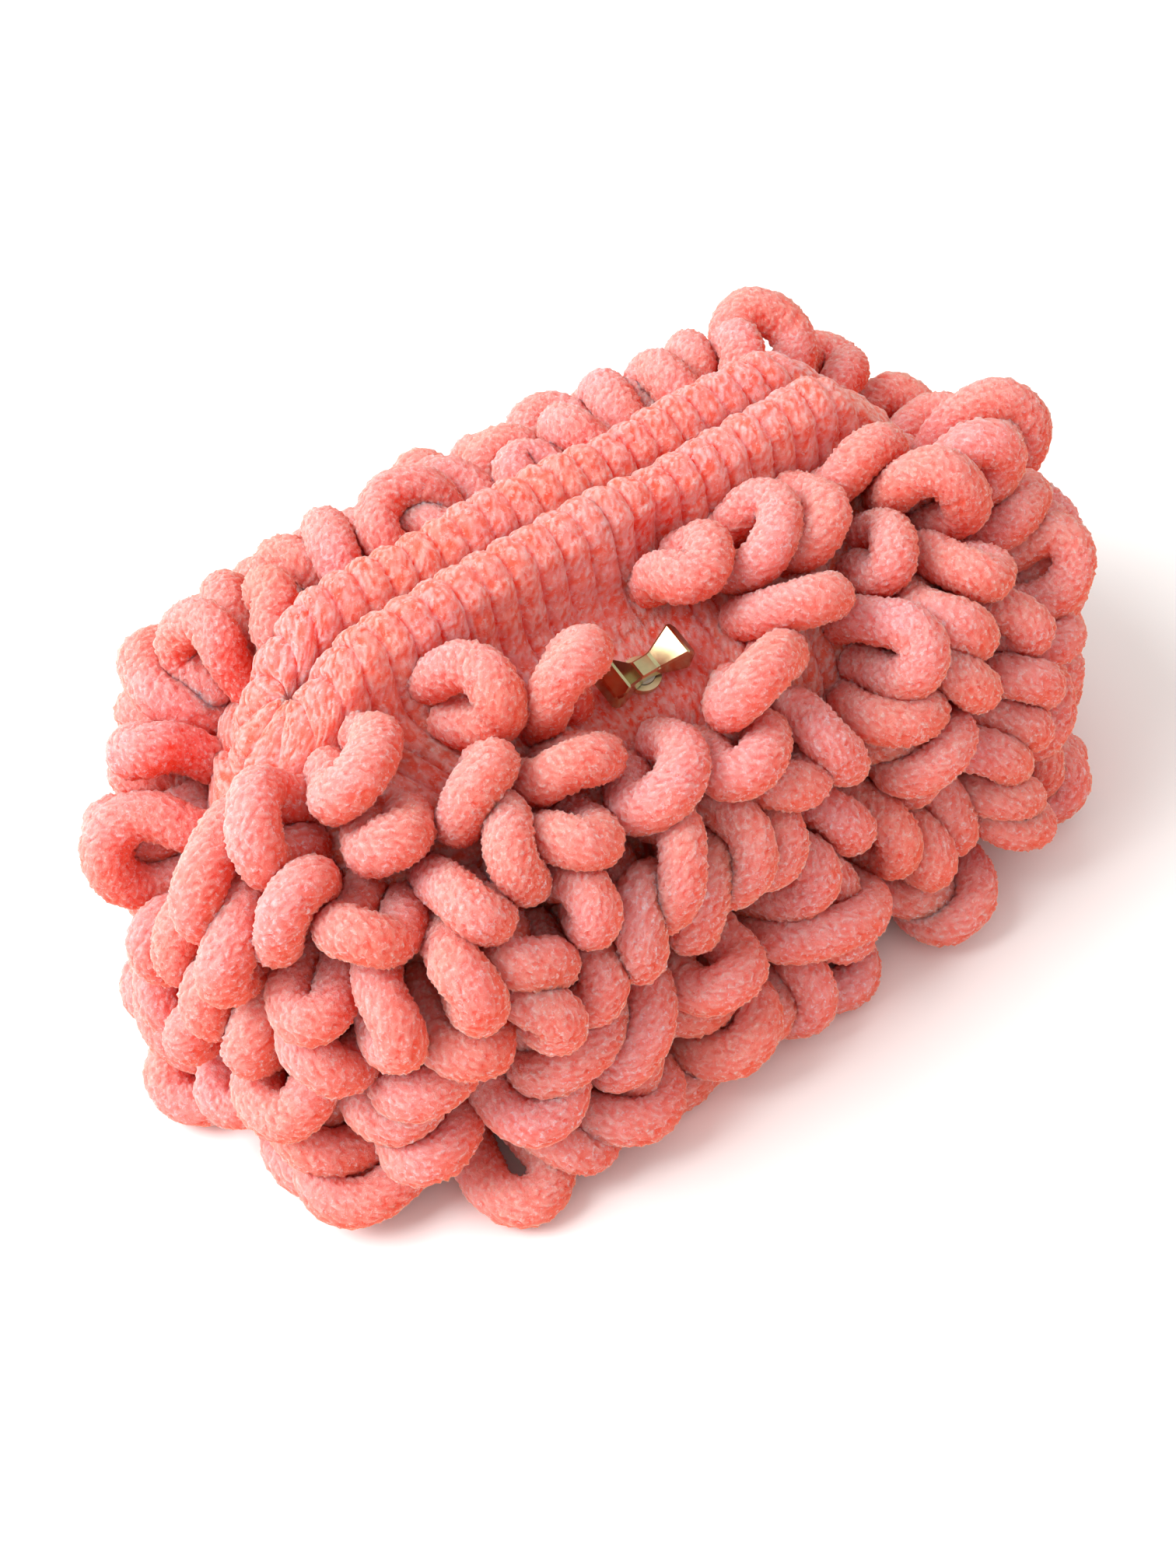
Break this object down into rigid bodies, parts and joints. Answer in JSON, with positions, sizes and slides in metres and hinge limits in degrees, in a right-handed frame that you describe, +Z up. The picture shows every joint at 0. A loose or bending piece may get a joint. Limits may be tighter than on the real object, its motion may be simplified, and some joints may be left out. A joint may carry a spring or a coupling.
{
  "type": "clutch pouch",
  "caption": "Small plump pouch knitted from chunky chenille loop yarn, with a ribbed slit mouth along the top and a bow-tie turn-lock knob on the front.",
  "frame": {"origin": "middle of the pouch's box at the surface that it stands on", "axes": "+X along the mouth, -Y towards the front with the knob, +Z up"},
  "size_m": [0.208, 0.118, 0.098],
  "materials": {
    "loop_yarn": "soft cut pile",
    "rib_yarn": "soft cut pile, knitted in ribs",
    "ground_yarn": "soft cut pile, knitted flat",
    "lock_gold": "polished pale gold",
    "lock_plate": "plain pale gold plate",
    "lock_steel": "plain steel"
  },
  "bodies": {
    "pouch": {"back_band": "rib_yarn", "back_loops_1": "loop_yarn", "back_loops_2": "loop_yarn", "back_loops_3": "loop_yarn", "back_loops_4": "loop_yarn", "back_loops_5": "loop_yarn", "back_loops_6": "loop_yarn", "back_panel": "ground_yarn", "base_loops": "loop_yarn", "base_panel": "ground_yarn", "front_loops_1": "loop_yarn", "front_loops_2": "loop_yarn", "front_panel_lower": "ground_yarn", "left_end_loops_1": "loop_yarn", "left_end_loops_2": "loop_yarn", "left_end_loops_3": "loop_yarn", "left_end_loops_4": "loop_yarn", "left_end_loops_5": "loop_yarn", "left_end_loops_6": "loop_yarn", "left_end_panel": "ground_yarn", "right_end_loops_1": "loop_yarn", "right_end_loops_2": "loop_yarn", "right_end_loops_3": "loop_yarn", "right_end_loops_4": "loop_yarn", "right_end_loops_5": "loop_yarn", "right_end_loops_6": "loop_yarn", "right_end_panel": "ground_yarn"},
    "front_upper": {"front_panel_upper": "ground_yarn", "front_band": "rib_yarn", "front_loops_5": "loop_yarn", "front_loops_6": "loop_yarn", "lock_base": "lock_plate", "lock_backing_washer": "lock_plate", "lock_rear_cover": "lock_plate", "lock_spring_washer": "lock_steel"},
    "front_middle": {"front_panel_middle": "ground_yarn", "front_loops_3": "loop_yarn", "front_loops_4": "loop_yarn"},
    "knob": {"lock_knob": "lock_gold", "lock_spindle": "lock_steel"}
  },
  "joints": [
    {"name": "mouth_open", "type": "hinge", "parent": "pouch", "child": "front_upper", "pos_m": [0, -0.008, 0.012], "axis": [1, 0, 0], "range_deg": [0, 16]},
    {"name": "front_fold", "type": "hinge", "parent": "pouch", "child": "front_middle", "pos_m": [0, -0.008, 0.012], "axis": [1, 0, 0], "range_deg": [0, 8]},
    {"name": "knob_turn", "type": "hinge", "parent": "front_upper", "child": "knob", "pos_m": [-0.007, -0.02175, 0.07285], "axis": [0, -0.389, 0.9212], "range_deg": [0, 90]}
  ],
  "couplings": [
    {"joint": "front_fold", "follows": "mouth_open", "ratio": 0.5}
  ]
}
